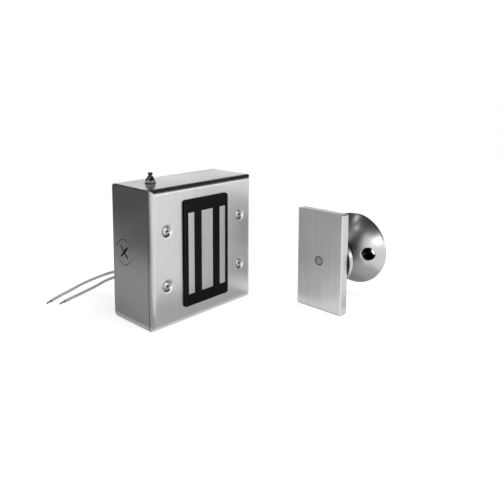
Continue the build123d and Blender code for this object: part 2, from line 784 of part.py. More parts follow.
def seat_plug():
    """Rear half of the ball seat."""
    plug = rod_z(plug_bore_r - plug_gap, plug_front_depth, plug_back_depth)
    centre = Pos(0, 0, ball_depth)
    plug -= centre * Sphere(seat_r) & rod_z(2 * seat_r, ball_depth, plug_liner_depth)
    plug -= centre * Sphere(ball_r + plug_ball_gap)
    return door_side(plug)


def cup_spring():
    """Dished spring washer behind the seat."""
    z0 = plug_back_depth
    rise = cup_spring_height - cup_spring_gauge
    outer = plug_bore_r - plug_gap
    return door_side(turned_z([(cup_spring_bore_r, z0), (outer, z0 + rise), (outer, z0 + cup_spring_height),
                               (cup_spring_bore_r, z0 + cup_spring_gauge)]))


def snap_ring():
    """Open ring in the foot's groove, with an eye at each end for pliers."""
    z0 = plug_back_depth + cup_spring_height
    z1 = z0 + snap_ring_gauge
    outer = plug_bore_r + snap_ring_groove - plug_gap
    inner = outer - snap_ring_width
    ring = rod_z(outer, z0, z1) - rod_z(inner, z0 - 1, z1 + 1)
    half = math.radians(snap_ring_mouth / 2)
    reach = 2 * outer
    wedge = make_face(Polyline((0, 0), (reach * math.cos(half), reach * math.sin(half)),
                               (reach * math.cos(half), -reach * math.sin(half)), close=True))
    ring -= Pos(0, 0, z0 - 1) * extrude(wedge, snap_ring_gauge + 2)
    eye_angle = half + 2 * snap_ring_width / (outer + inner)
    for side in (-1, 1):
        x = (outer + inner) / 2 * math.cos(eye_angle)
        y = side * (outer + inner) / 2 * math.sin(eye_angle)
        ring -= rod_z(snap_ring_eye_r, z0 - 1, z1 + 1, x, y)
    return door_side(ring)


def build():
    """Every piece by its name."""
    made = {
        "box_wrap": box_wrap(),
        "left_side_plate": side_plate(-1),
        "right_side_plate": side_plate(1),
        "screw_tabs": screw_tabs(),
        "cover_plate": cover_plate(),
        "cover_screws": cover_screws(),
        "magnet_case": magnet_case(),
        "magnet_core": magnet_core(),
        "coil_bobbin": coil_bobbin(),
        "coil_winding": coil_winding(),
        "potting_plug": potting_plug(),
        "magnet_bracket": magnet_bracket(),
        "weld_studs": weld_studs(),
        "bracket_nuts": bracket_nuts(),
        "core_screws": core_screws(),
        "switch_body": switch_body(),
        "switch_bushing": switch_bushing(),
        "lock_washer": lock_washer(),
        "switch_nut": switch_nut(),
        "push_button": push_button(),
        "button_spring": button_spring(),
        "switch_terminals": switch_terminals(),
        "wire_grommet": wire_grommet(),
        "inner_lead_1": inner_lead_1(),
        "inner_lead_2": inner_lead_2(),
        "link_wire": link_wire(),
        "catch_plate": catch_plate(),
        "plate_pin": plate_pin(),
        "backing_disc": backing_disc(),
        "ball_stud": ball_stud(),
        "swivel_liner": swivel_liner(),
        "door_foot": door_foot(),
        "seat_plug": seat_plug(),
        "cup_spring": cup_spring(),
        "snap_ring": snap_ring(),
    }
    made.update(leads())
    return made


os.makedirs("parts", exist_ok=True)
for node, shape in build().items():
    export_step(shape, "parts/%s.step" % node)
    print(node, "solids", len(shape.solids()), "volume", round(shape.volume, 1))
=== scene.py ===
# %% [markdown]
# # Dressing an electromagnetic door holder
# The object is a set of two. A magnet sits in a brushed stainless box that is screwed to the wall,
# and a steel catch plate swivels on a domed foot that is screwed to the door. All the solid pieces
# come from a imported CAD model, in metres: +X runs right along the cover, +Z is up, and the cover
# faces -Y. This lesson adds the camera, the light, the finishes, and the pieces that Blender makes
# better than a solid model does.

# %% Open the CAD model
import math
import bpy
from mathutils import Euler, Matrix, Vector


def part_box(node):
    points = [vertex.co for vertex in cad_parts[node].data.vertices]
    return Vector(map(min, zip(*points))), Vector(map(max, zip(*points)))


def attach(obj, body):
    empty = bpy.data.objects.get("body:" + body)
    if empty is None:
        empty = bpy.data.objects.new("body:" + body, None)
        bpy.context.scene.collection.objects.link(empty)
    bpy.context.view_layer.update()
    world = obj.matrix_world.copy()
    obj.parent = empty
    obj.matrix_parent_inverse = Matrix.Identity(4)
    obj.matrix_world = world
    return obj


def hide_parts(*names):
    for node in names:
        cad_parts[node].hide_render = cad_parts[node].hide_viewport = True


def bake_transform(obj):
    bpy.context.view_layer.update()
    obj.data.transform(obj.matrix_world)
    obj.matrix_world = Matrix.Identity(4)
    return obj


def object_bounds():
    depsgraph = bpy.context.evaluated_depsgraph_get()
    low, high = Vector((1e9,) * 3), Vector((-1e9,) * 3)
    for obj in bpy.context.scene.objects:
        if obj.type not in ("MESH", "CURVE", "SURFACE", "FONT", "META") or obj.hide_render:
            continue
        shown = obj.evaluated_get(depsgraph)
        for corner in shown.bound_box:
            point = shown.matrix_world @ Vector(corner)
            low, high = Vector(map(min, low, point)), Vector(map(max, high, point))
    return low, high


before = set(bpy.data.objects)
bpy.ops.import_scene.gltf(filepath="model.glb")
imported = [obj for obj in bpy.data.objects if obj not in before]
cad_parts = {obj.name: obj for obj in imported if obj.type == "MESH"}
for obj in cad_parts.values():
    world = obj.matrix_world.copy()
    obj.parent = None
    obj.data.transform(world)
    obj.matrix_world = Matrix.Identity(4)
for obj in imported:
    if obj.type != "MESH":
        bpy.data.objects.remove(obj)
cad_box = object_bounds()
bpy.ops.object.select_all(action="DESELECT")
print("pieces in the CAD model:", len(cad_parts))
print("its lowest and highest corner:", [[round(v, 4) for v in corner] for corner in cad_box])

# %% [markdown]
# ## The camera
# The picture was taken from the left of the cover, a little above the box and close by, with a
# normal lens. Its uprights stay upright although the camera looks down, so the lens is shifted and
# not only tilted. A camera could be set by eye. This one was worked out from the corners of the
# box, whose real sizes are known, so that every piece falls where it should.

# %% Place the camera
CAMERA_PLACE = (-0.3199, -0.4052, 0.1425)
LOOK_DOWN, LOOK_RIGHT, CAMERA_ROLL = 6.84, 46.92, 0.23
SENSOR_MM, LENS_MM, LENS_SHIFT = 36.0, 40.59, -0.2

camera_data = bpy.data.cameras.new("camera")
camera_data.sensor_width = SENSOR_MM
camera_data.lens = LENS_MM
camera_data.shift_y = LENS_SHIFT
camera_data.clip_start = 0.01
camera = bpy.data.objects.new("camera", camera_data)
bpy.context.collection.objects.link(camera)
camera.location = CAMERA_PLACE
looking = Euler((math.radians(90 - LOOK_DOWN), 0.0, math.radians(-LOOK_RIGHT))).to_matrix()
camera.rotation_euler = (looking @ Matrix.Rotation(math.radians(CAMERA_ROLL), 3, "Z")).to_euler()
bpy.context.scene.camera = camera
print("camera turned", [round(math.degrees(a), 2) for a in camera.rotation_euler], "degrees")

# %% [markdown]
# ## The two leads
# The leads come out of the back of the box, droop to the table and run out to the left, with their
# ends stripped. A wire could be a tube of rings that are placed one by one. A soft wire under its
# own weight takes one smooth line, though, and a curve with a round edge does that from a few
# points and keeps its thickness. The points are the ones that the CAD tubes follow.

# %% Lay the leads
MM_IN_A_METRE = 1000
LEAD_DIAMETER = 0.0025
LEAD_ROUTES = {
    "lead_1": [
        (-38, 0, -24), (-38, 12, -24), (-37, 28, -31), (-34.5, 45, -37.5), (-35.5, 61.5, -45),
        (-43, 73.5, -51.5), (-56.5, 77, -56.65), (-70, 71.7, -56.65), (-82, 65.8, -56.65),
    ],
    "lead_2": [
        (-35, 0, -28), (-35, 12, -28), (-37.3, 28, -36), (-38.4, 42.5, -42.6),
        (-42.5, 54.5, -50.6), (-51, 60.6, -55.4), (-62.5, 60, -56.65), (-74, 55.8, -56.65),
    ],
}


def lay_lead(name, route):
    """A round wire on one smooth curve near the route's points, which are in millimetres."""
    line = bpy.data.curves.new(name, "CURVE")
    line.dimensions = "3D"
    line.bevel_depth = LEAD_DIAMETER / 2
    line.bevel_resolution = 6
    line.resolution_u = 16
    line.use_fill_caps = True
    spline = line.splines.new("NURBS")
    spline.points.add(len(route) - 1)
    for point, place in zip(spline.points, route):
        point.co = (*[v / MM_IN_A_METRE for v in place], 1.0)
    spline.order_u = 3
    spline.use_endpoint_u = True
    lead = bpy.data.objects.new(name, line)
    bpy.context.collection.objects.link(lead)
    return lead


leads = {name: lay_lead(name + "_wire", route) for name, route in LEAD_ROUTES.items()}
print("leads laid:", list(leads))

# %% [markdown]
# ## The table and the surround
# The set stands on a plain white table in a plain white surround. Strong lamps could burn both out
# to white, but they would burn out the steel too. So the table and the surround shine a little by
# themselves, and only where the camera or a polished surface looks at them. Everything else gets a
# lower, even light, so that the lamps give the object its shape and the table keeps its shadow.

# %% Helpers for node networks
def grey(level):
    """A neutral colour."""
    return (level, level, level, 1.0)


def add_node(tree, kind, inputs=None, **settings):
    """Adds a node to a network. Inputs may be numbers, or the outputs of other nodes."""
    made = tree.nodes.new("ShaderNode" + kind)
    for key, value in settings.items():
        setattr(made, key, value)
    for key, value in (inputs or {}).items():
        if isinstance(value, bpy.types.NodeSocket):
            tree.links.new(value, made.inputs[key])
        else:
            made.inputs[key].default_value = value
    return made


def either(tree, a, b):
    """The greater of two values, so 1 where either of them is 1."""
    return add_node(tree, "Math", {0: a, 1: b}, operation="MAXIMUM").outputs[0]


print("node helpers ready")

# %% Lay the table
TABLE_Z = cad_box[0][2]
TABLE_SIZE = 6.0
TABLE_WHITE = 0.84
TABLE_GLOW = 0.62
REFLECTED_SHARE = 0.7

bpy.ops.mesh.primitive_plane_add(size=TABLE_SIZE, location=(0.0, 0.0, TABLE_Z))
table = bpy.context.object
table.name = "table"

table_finish = bpy.data.materials.new("white table")
table_finish.use_nodes = True
tree = table_finish.node_tree
matt = tree.nodes["Principled BSDF"]
matt.inputs["Base Color"].default_value = grey(TABLE_WHITE)
matt.inputs["Roughness"].default_value = 0.7
glow = add_node(tree, "Emission", {"Strength": TABLE_GLOW})
lit = add_node(tree, "AddShader", {0: matt.outputs[0], 1: glow.outputs[0]})
ray = add_node(tree, "LightPath").outputs
reflected = add_node(tree, "Math", {0: ray["Is Glossy Ray"], 1: REFLECTED_SHARE},
                     operation="MULTIPLY").outputs[0]
seen = either(tree, ray["Is Camera Ray"], reflected)
choice = add_node(tree, "MixShader", {0: seen, 1: matt.outputs[0], 2: lit.outputs[0]})
tree.links.new(choice.outputs[0], tree.nodes["Material Output"].inputs["Surface"])
table.data.materials.append(table_finish)
print("table at", round(TABLE_Z, 5))

# %% Hang the surround
SURROUND_FILL = 0.35
SURROUND_SEEN = 1.0

world = bpy.data.worlds.new("surround")
world.use_nodes = True
bpy.context.scene.world = world
tree = world.node_tree
around = tree.nodes["Background"]
around.inputs["Color"].default_value = grey(1.0)
ray = add_node(tree, "LightPath").outputs
seen = either(tree, ray["Is Camera Ray"], ray["Is Glossy Ray"])
seen = either(tree, seen, ray["Is Transmission Ray"])
level = add_node(tree, "MapRange", {"Value": seen, "To Min": SURROUND_FILL,
                                    "To Max": SURROUND_SEEN})
tree.links.new(level.outputs["Result"], around.inputs["Strength"])
bpy.context.scene.view_settings.view_transform = "Standard"
print("surround hung")

# %% [markdown]
# ## The cards
# Bare steel has no colour of its own: it shows what stands round it. In an all-white room it looks
# like paper. Its colour could be made darker, but then it would be as dark on every side. A product
# photographer hangs cards where the metal looks at them instead. The dark ones behind, at the right
# and overhead give the box its dark end wall and the dark line under its top edge. Five more lie
# flat on the table, one dark and four paler, as a painted shadow of the table round the object, and
# set how dark the foot of each wall is. Only reflections see these cards.

# %% Hang the cards
TABLE_CARD_Z = -0.0574


def card_finish(name, level):
    """A matt finish of one grey."""
    finish = bpy.data.materials.new(name)
    finish.use_nodes = True
    shader = finish.node_tree.nodes["Principled BSDF"]
    shader.inputs["Base Color"].default_value = grey(level)
    shader.inputs["Roughness"].default_value = 0.9
    return finish


def hang_card(name, place, size, facing, finish):
    """A flat card at a place, facing a point, that only reflections see."""
    bpy.ops.mesh.primitive_plane_add(size=1.0, location=place)
    card = bpy.context.object
    card.name = name
    card.scale = (*size, 1.0)
    card.rotation_euler = (Vector(facing) - Vector(place)).to_track_quat("Z", "Y").to_euler()
    card.visible_camera = False
    card.visible_diffuse = False
    card.visible_transmission = False
    card.visible_shadow = False
    card.data.materials.append(finish)


def lay_shadow_card(name, place, size, finish):
    """A card that lies on the table and faces up: a painted shadow of the table, which reflections
    show.
    """
    hang_card(name, (*place, TABLE_CARD_Z), size, (*place, 1.0), finish)


dark_card = card_finish("dark card", 0.03)
ceiling_card = card_finish("ceiling card", 0.045)
light_card = card_finish("light card", 0.62)
pale_card = card_finish("pale card", 0.85)
hang_card("card_left_back", (-0.215, 0.36, 0.24), (0.63, 0.6), (-0.215, -0.03, 0.24), dark_card)
hang_card("card_right", (0.75, -0.26, 0.5), (1.36, 0.74), (0.0, -0.26, 0.5), dark_card)
hang_card("card_back_right", (0.6, 0.44, 0.56), (0.8, 0.5), (0.0, -0.05, 0.06), dark_card)
hang_card("card_ceiling", (0.05, -0.05, 0.75), (2.1, 2.1), (0.05, -0.05, 0.0), ceiling_card)
# Painted shadow of the table round the object, which only reflections show.
lay_shadow_card("card_table_far", (-0.5, 0.225), (0.64, 0.45), dark_card)
lay_shadow_card("card_table_left", (-0.5, -0.09), (0.64, 0.18), pale_card)
lay_shadow_card("card_table_near", (-0.12, 0.07), (0.12, 0.3), light_card)
lay_shadow_card("card_table_front", (0.0, -0.085), (0.12, 0.06), pale_card)
lay_shadow_card("card_table_foot", (0.125, -0.125), (0.07, 0.08), pale_card)

# %% [markdown]
# ## The lamps
# Eight lamps light the set. One large lamp could light it all, but polished metal shows every lamp
# as a bright patch, so each lamp is told what it may do. Those at the front, the front right and
# the left light everything. The one overhead lights the table and the matt pieces, and no
# reflection shows it. The other four show in reflections only: two small ones put bright spots on
# the dome, one stands far behind at the right, and one brightens the top edge of the catch plate.

# %% Set the lamps
BOX_MIDDLE = (0.0, -0.05, 0.0)
DOME_MIDDLE = (0.12, -0.12, 0.0)
SPOT_SIZE = (0.035, 0.035)


def softbox(name, place, size, watts, target, lights=True, reflected=True):
    """A flat lamp that points at a target, and may light things, be reflected in them, or both."""
    lamp_data = bpy.data.lights.new(name, "AREA")
    lamp_data.shape = "RECTANGLE"
    lamp_data.size, lamp_data.size_y = size
    lamp_data.energy = watts
    lamp = bpy.data.objects.new(name, lamp_data)
    lamp.visible_camera = False
    lamp.visible_diffuse = lights
    lamp.visible_glossy = reflected
    bpy.context.collection.objects.link(lamp)
    lamp.location = place
    lamp.rotation_euler = (Vector(target) - Vector(place)).to_track_quat("-Z", "Y").to_euler()


softbox("lamp_front_right", (0.62, -0.78, 0.06), (0.6, 0.12), 0.4, BOX_MIDDLE)
softbox("lamp_left", (-0.53, -0.84, 0.26), (0.3, 0.25), 0.8, (0.1, -0.1, 0.0))
softbox("lamp_streak", (-0.4, 0.02, 0.45), SPOT_SIZE, 0.085, DOME_MIDDLE, lights=False)
softbox("lamp_spot", (-0.11, 0.097, 0.51), SPOT_SIZE, 0.085, DOME_MIDDLE, lights=False)
softbox("lamp_top", (0.1, -0.3, 0.7), (0.4, 0.4), 2.0, BOX_MIDDLE, reflected=False)
softbox("lamp_front", (0.08, -0.85, 0.2), (0.44, 0.44), 0.45, BOX_MIDDLE)
softbox("lamp_back_right", (1.0, 1.0, 0.24), (0.9, 0.16), 0.5, (0.0, 0.0, 0.05), lights=False)
softbox("lamp_plate_top", (0.4, 0.114, 0.105), (0.16, 0.06), 0.12, (0.078, -0.12, 0.031),
        lights=False)

# %% [markdown]
# ## Building a finish
# Every finish is a small network of nodes. A photo of steel could be wrapped round the pieces, but
# it would stretch at the folds and blur close up. These networks start from the place on the
# object, in metres, so a scratch is as long on the object as it is in the network. This helper
# keeps the wiring short.

# %% A helper for finishes
NOISE_LOW, NOISE_HIGH = 0.3, 0.7
CLEAN, GREASY = 0.35, 0.75
FLAT, EDGED = 0.995, 0.9
OPEN_SKY = 0.97
JOINT_WIDTH, JOINT_FADE, JOINT_SHADE = 0.0003, 0.0008, 0.3


class Finish:
    """A material while it is being put together."""

    def __init__(self, name, colour, roughness, metallic=0.0):
        self.material = bpy.data.materials.new(name)
        self.material.use_nodes = True
        self.tree = self.material.node_tree
        self.shader = self.tree.nodes["Principled BSDF"]
        self.shader.inputs["Base Color"].default_value = (*colour, 1.0)
        self.shader.inputs["Roughness"].default_value = roughness
        self.shader.inputs["Metallic"].default_value = metallic
        self.colour = colour
        self.place = self.node("TexCoord").outputs["Object"]

    def node(self, kind, inputs=None, **settings):
        """Adds a node to this finish."""
        return add_node(self.tree, kind, inputs, **settings)

    def math(self, operation, a, b=0.0):
        """One sum with two numbers."""
        return self.node("Math", {0: a, 1: b}, operation=operation).outputs[0]

    def product(self, first, *others):
        """Several numbers multiplied."""
        for other in others:
            first = self.math("MULTIPLY", first, other)
        return first

    def vector(self, operation, a, b):
        """One sum with two vectors."""
        return self.node("VectorMath", {0: a, 1: b}, operation=operation).outputs[0]

    def part(self, vector, axis):
        """The X, Y or Z part of a vector."""
        return self.node("SeparateXYZ", {0: vector}).outputs[axis]

    def noise(self, place, scale, detail=2.0, roughness=0.5):
        """Soft noise from 0 to 1. The scale is in cycles per unit of the place it is given."""
        settings = {"Vector": place, "Scale": scale, "Detail": detail, "Roughness": roughness}
        return self.node("TexNoise", settings).outputs["Fac"]

    def spread(self, value, low, high, to_low, to_high):
        """Stretches a value from one range to another."""
        names = ("Value", "From Min", "From Max", "To Min", "To Max")
        made = self.node("MapRange", dict(zip(names, (value, low, high, to_low, to_high))))
        return made.outputs["Result"]

    def vary(self, noise, low, high):
        """Noise stretched between two values."""
        return self.spread(noise, NOISE_LOW, NOISE_HIGH, low, high)

    def smudge(self, cloud, most):
        """Roughness to add where hands have been, in patches."""
        return self.spread(cloud, CLEAN, GREASY, -0.02, most)

    def tint(self, amount):
        """The finish's own colour, made lighter or darker by an amount near 1."""
        level = self.node("CombineXYZ", {0: amount, 1: amount, 2: amount}).outputs[0]
        return self.vector("MULTIPLY", self.colour, level)

    def set(self, socket, value):
        """Feeds one socket of the shader."""
        self.tree.links.new(value, self.shader.inputs[socket])

    def edges(self, radius):
        """About 1 along outside and inside edges, and 0 on open faces."""
        soft = self.node("Bevel", {"Radius": radius}, samples=4).outputs[0]
        flat = self.node("NewGeometry").outputs["Normal"]
        alike = self.node("VectorMath", {0: soft, 1: flat}, operation="DOT_PRODUCT")
        return self.spread(alike.outputs["Value"], FLAT, EDGED, 0.0, 1.0)

    def edge_wear_and_highlight(self, radius, lighter):
        """1 on open faces, and lighter along the edges: a painted highlight, and partly wear where
        the edges rub bare first.
        """
        return self.spread(self.edges(radius), 0.0, 1.0, 1.0, lighter)

    def painted_hollow_shade(self, reach, darkest, closed=0.5):
        """Painted shade: 1 on open faces, and darkest where less than closed of the sky is in
        reach.
        """
        around = self.node("AmbientOcclusion", {"Distance": reach}, samples=6).outputs["AO"]
        return self.spread(around, closed, OPEN_SKY, darkest, 1.0)

    def painted_joint_shade(self, distance):
        """Painted shade within a few tenths of a millimetre of a joint, and 1 away from it."""
        away = self.math("ABSOLUTE", distance)
        return self.spread(away, JOINT_WIDTH, JOINT_FADE, JOINT_SHADE, 1.0)

    def arm_from(self, axis):
        """The way to a point from a line that runs along X, straight out of that line."""
        arm = self.vector("SUBTRACT", self.place, axis)
        return self.vector("MULTIPLY", arm, (0.0, 1.0, 1.0))

    def from_axis(self, axis):
        """How far a point lies from a line that runs along X."""
        arm = self.node("VectorMath", {0: self.arm_from(axis)}, operation="LENGTH")
        return arm.outputs["Value"]

    def blur_across(self, grain, share):
        """Blurs reflections across a grain and leaves them sharp along it."""
        facing = self.node("TexCoord").outputs["Normal"]
        across = self.vector("CROSS_PRODUCT", facing, grain)
        turned = self.node("VectorTransform", {"Vector": across}, vector_type="VECTOR",
                           convert_from="OBJECT", convert_to="WORLD")
        self.set("Tangent", turned.outputs[0])
        self.shader.inputs["Anisotropic"].default_value = share

    def relief(self, height, depth, radius=0.0003):
        """Bumps of a depth in metres, with the edges rounded off."""
        soft = self.node("Bevel", {"Radius": radius}, samples=4).outputs[0]
        settings = {"Height": height, "Distance": depth, "Strength": 1.0, "Normal": soft}
        self.set("Normal", self.node("Bump", settings).outputs[0])


print("finish helper ready")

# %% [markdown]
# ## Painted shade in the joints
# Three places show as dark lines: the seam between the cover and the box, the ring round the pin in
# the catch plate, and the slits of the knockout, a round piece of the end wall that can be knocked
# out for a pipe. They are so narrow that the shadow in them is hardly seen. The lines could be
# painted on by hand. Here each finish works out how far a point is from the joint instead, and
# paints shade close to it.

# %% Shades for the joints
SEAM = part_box("cover_plate")[1][1]
OUTER_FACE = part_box("right_side_plate")[1][0]
KNOCKOUT_AXIS = (0.0, -0.016, 0.0012)
KNOCKOUT_REACH = 0.012
KNOCKOUT_SOFTNESS = 0.0004
SLIT_START, SLIT_END = 0.00015, 0.0005
SLIT_SHADE = 0.06
PLATE_AXIS = (0.0, -0.1205, -0.0135)
PIN_RADIUS = 0.00375


def at_seam(finish):
    """A dark line where the cover meets the box: painted shade in the seam."""
    return finish.painted_joint_shade(finish.math("SUBTRACT", finish.part(finish.place, "Y"), SEAM))


def at_pin(finish):
    """A dark ring round the pin in the catch plate: painted shade in its gap."""
    return finish.painted_joint_shade(finish.math("SUBTRACT", finish.from_axis(PLATE_AXIS), PIN_RADIUS))


def in_knockout(finish):
    """Painted shade on the cut walls of the knockout's slits, which hardly any light reaches."""
    aside = finish.math("ABSOLUTE", finish.part(finish.place, "X"))
    deep = finish.spread(aside, OUTER_FACE - SLIT_END, OUTER_FACE - SLIT_START, SLIT_SHADE, 1.0)
    beyond = finish.spread(finish.from_axis(KNOCKOUT_AXIS), KNOCKOUT_REACH,
                           KNOCKOUT_REACH + KNOCKOUT_SOFTNESS, 0.0, 1.0)
    return finish.math("MAXIMUM", deep, beyond)


print("seam at", round(SEAM, 4), "and outer face at", round(OUTER_FACE, 4))

# %% [markdown]
# ## Brushed stainless sheet
# A belt has drawn fine scratches along the sheet before it was folded, so the grain runs up the
# cover and the end walls, and over the top in the same direction as the fold turns. Modelling the
# scratches would take millions of faces. They blur a reflection across the grain and leave it sharp
# along the grain, and anisotropy does just that once it is given the direction across the grain.
# The grain leans a hair off its axis, because a face that looks straight along the grain has no
# direction across it. What can be seen of the scratches themselves is noise, squeezed across the
# grain and drawn out along it.

# %% Brushed sheet
def brushed(name, colour, roughness, grain, scratches, streaks, depth, shades=(), edge=1.3):
    """Brushed metal with its grain along a direction. scratches and streaks say how fast the fine
    and the broad marks change along X, Y and Z, in cycles a metre, and depth how strong they
    are."""
    finish = Finish(name, colour, roughness, metallic=1.0)
    fine_place = finish.vector("MULTIPLY", finish.place, scratches)
    fine = finish.noise(fine_place, scale=1.0, detail=2.0, roughness=0.6)
    broad_place = finish.vector("MULTIPLY", finish.place, streaks)
    broad = finish.noise(broad_place, scale=1.0, detail=2.0, roughness=0.5)
    cloud = finish.noise(finish.place, scale=22.0, detail=3.0, roughness=0.55)
    marks = finish.math("ADD", finish.product(fine, 0.6), finish.product(broad, 0.4))
    light = finish.vary(marks, 1.0 - depth, 1.0 + depth)
    patch = finish.vary(cloud, 0.97, 1.03)
    # Painted shade in the hollows and seams, where less light falls.
    # The edges come out lighter by edge: a painted highlight, and partly wear.
    amount = finish.product(light, patch, finish.edge_wear_and_highlight(radius=0.0007, lighter=edge),
                            *[shade(finish) for shade in shades],
                            finish.painted_hollow_shade(reach=0.0015, darkest=0.15))
    finish.set("Base Color", finish.tint(amount))
    dull = finish.vary(marks, roughness - 0.02, roughness + 0.03)
    finish.set("Roughness", finish.math("ADD", dull, finish.smudge(cloud, most=0.04)))
    finish.blur_across(grain, share=0.6)
    finish.relief(fine, depth=0.000003)
    return finish


SHEET_STEEL = (0.64, 0.64, 0.645)
SHEET_ROUGHNESS = 0.3
SHEET_DEPTH = 0.05
UPRIGHT = (0.0, 0.02, 1.0)
UPRIGHT_SCRATCHES = (2300.0, 2300.0, 40.0)
UPRIGHT_STREAKS = (520.0, 520.0, 6.0)
OVER_THE_FOLD = (0.0, 1.0, 0.02)
FOLD_SCRATCHES = (2300.0, 40.0, 40.0)
FOLD_STREAKS = (520.0, 6.0, 6.0)

sheet_up = brushed("brushed sheet, grain upright", SHEET_STEEL, SHEET_ROUGHNESS, UPRIGHT,
                   UPRIGHT_SCRATCHES, UPRIGHT_STREAKS, SHEET_DEPTH, (at_seam, in_knockout))
sheet_over = brushed("brushed sheet, grain over the fold", SHEET_STEEL, SHEET_ROUGHNESS,
                     OVER_THE_FOLD, FOLD_SCRATCHES, FOLD_STREAKS, SHEET_DEPTH, (at_seam,))
print("sheet finishes ready")

# %% [markdown]
# ## Ground steel
# The catch plate and the poles of the magnet are ground flat, so that they meet without a gap, and
# the stone leaves a coarser upright grain than the belt does on the sheet. They could share the
# sheet's finish, but beside each other the two look different, so the same network is used again
# with broader streaks and more roughness.

# %% Ground steel
ground_plate = brushed("ground steel", (0.65, 0.65, 0.655), 0.4, UPRIGHT,
                       scratches=(1700.0, 1700.0, 30.0), streaks=(260.0, 260.0, 5.0), depth=0.1,
                       shades=(at_pin,), edge=1.8)
ground_pole = brushed("ground pole steel", (0.52, 0.52, 0.52), 0.36, UPRIGHT,
                      scratches=UPRIGHT_SCRATCHES, streaks=(300.0, 300.0, 12.0), depth=0.1)
print("ground finishes ready")

# %% [markdown]
# ## Turned steel
# The foot, the disc and the stud come off a lathe, so their marks are rings about the line that the
# plate spins on. Rings could be cut into the mesh, but they are finer than a hair. Here the noise
# depends only on how far a point lies out from that line and along it, so it comes out as rings.

# %% Turned steel
def turned(name, colour, roughness, rings=900.0, shades=()):
    """Metal off a lathe, with fine rings about the plate's axis."""
    finish = Finish(name, colour, roughness, metallic=1.0)
    along = finish.math("ADD", finish.from_axis(PLATE_AXIS), finish.part(finish.place, "X"))
    path = finish.node("CombineXYZ", {0: along, 1: 0.0, 2: 0.0}).outputs[0]
    ring = finish.noise(path, rings, detail=3.0, roughness=0.65)
    cloud = finish.noise(finish.place, scale=45.0, detail=2.0, roughness=0.5)
    # Painted shade in the hollows, darkest deep in them, such as the hole in the foot.
    # The edges come out lighter: a painted highlight, and partly wear.
    amount = finish.product(finish.vary(ring, 0.95, 1.05),
                            finish.edge_wear_and_highlight(radius=0.0006, lighter=1.15),
                            *[shade(finish) for shade in shades],
                            finish.painted_hollow_shade(reach=0.012, darkest=0.03, closed=0.72))
    finish.set("Base Color", finish.tint(amount))
    dull = finish.vary(ring, roughness - 0.04, roughness + 0.05)
    finish.set("Roughness", finish.math("ADD", dull, finish.smudge(cloud, most=0.03)))
    round_it = finish.vector("CROSS_PRODUCT", (1.0, 0.0, 0.0), finish.arm_from(PLATE_AXIS))
    finish.blur_across(round_it, share=0.4)
    finish.relief(ring, depth=0.00002)
    return finish


turned_foot = turned("turned steel", (0.58, 0.58, 0.585), 0.31)
turned_pin = turned("turned pin steel", (0.52, 0.52, 0.525), 0.36, rings=1500.0,
                    shades=(at_pin,))
print("turned finishes ready")

# %% [markdown]
# ## Plated metal
# The screws, nuts and other small metal pieces are plated. The coat is bright, with faint clouds
# and tiny pits. A plain shiny metal would look like a mirror at this size, so the clouds change
# how rough the coat is from place to place.

# %% Plated metal
def plated(name, colour, roughness):
    """A bright coat with faint clouds and small pits."""
    finish = Finish(name, colour, roughness, metallic=1.0)
    cloud = finish.noise(finish.place, scale=260.0, detail=3.0, roughness=0.6)
    pits = finish.noise(finish.place, scale=2600.0, detail=2.0, roughness=0.5)
    # Painted shade in the hollows, such as the recesses of the screw heads.
    # The edges come out lighter: a painted highlight, and partly wear.
    amount = finish.product(finish.vary(cloud, 0.93, 1.05),
                            finish.edge_wear_and_highlight(radius=0.0003, lighter=1.1),
                            finish.painted_hollow_shade(reach=0.0015, darkest=0.03, closed=0.55))
    finish.set("Base Color", finish.tint(amount))
    finish.set("Roughness", finish.vary(cloud, roughness - 0.04, roughness + 0.08))
    finish.relief(pits, depth=0.000012, radius=0.00015)
    return finish


bright_plating = plated("bright plating", (0.35, 0.35, 0.355), 0.14)
screw_plating = plated("screw steel", (0.62, 0.62, 0.63), 0.22)
zinc_plating = plated("zinc plating", (0.6, 0.6, 0.56), 0.36)
tin_plating = plated("tinned copper", (0.3, 0.3, 0.31), 0.34)
print("plated finishes ready")

# %% [markdown]
# ## Moulded plastic and rubber
# The magnet's case, the switch and the grommet come out of moulds, and the wire covers out of a
# die. A flat colour would do from far off. Close up they carry the fine grain of the tool, and
# their edges are lighter, partly rubbed and partly a painted highlight, so both are put in.

# %% Moulded plastic and rubber
def moulded(name, colour, roughness, grain=1800.0, depth=0.00003, edge=2.2):
    """Moulded plastic: fine grain, faint flow clouds, and edges lighter, partly from wear and
    partly as a painted highlight.
    """
    finish = Finish(name, colour, roughness)
    speck = finish.noise(finish.place, grain, detail=2.0, roughness=0.5)
    cloud = finish.noise(finish.place, scale=70.0, detail=3.0, roughness=0.6)
    # The edges come out lighter by edge: partly wear, partly a painted highlight.
    amount = finish.product(finish.vary(cloud, 0.85, 1.15),
                            finish.edge_wear_and_highlight(radius=0.0006, lighter=edge))
    finish.set("Base Color", finish.tint(amount))
    finish.set("Roughness", finish.vary(cloud, roughness - 0.06, roughness + 0.08))
    finish.relief(speck, depth)
    return finish


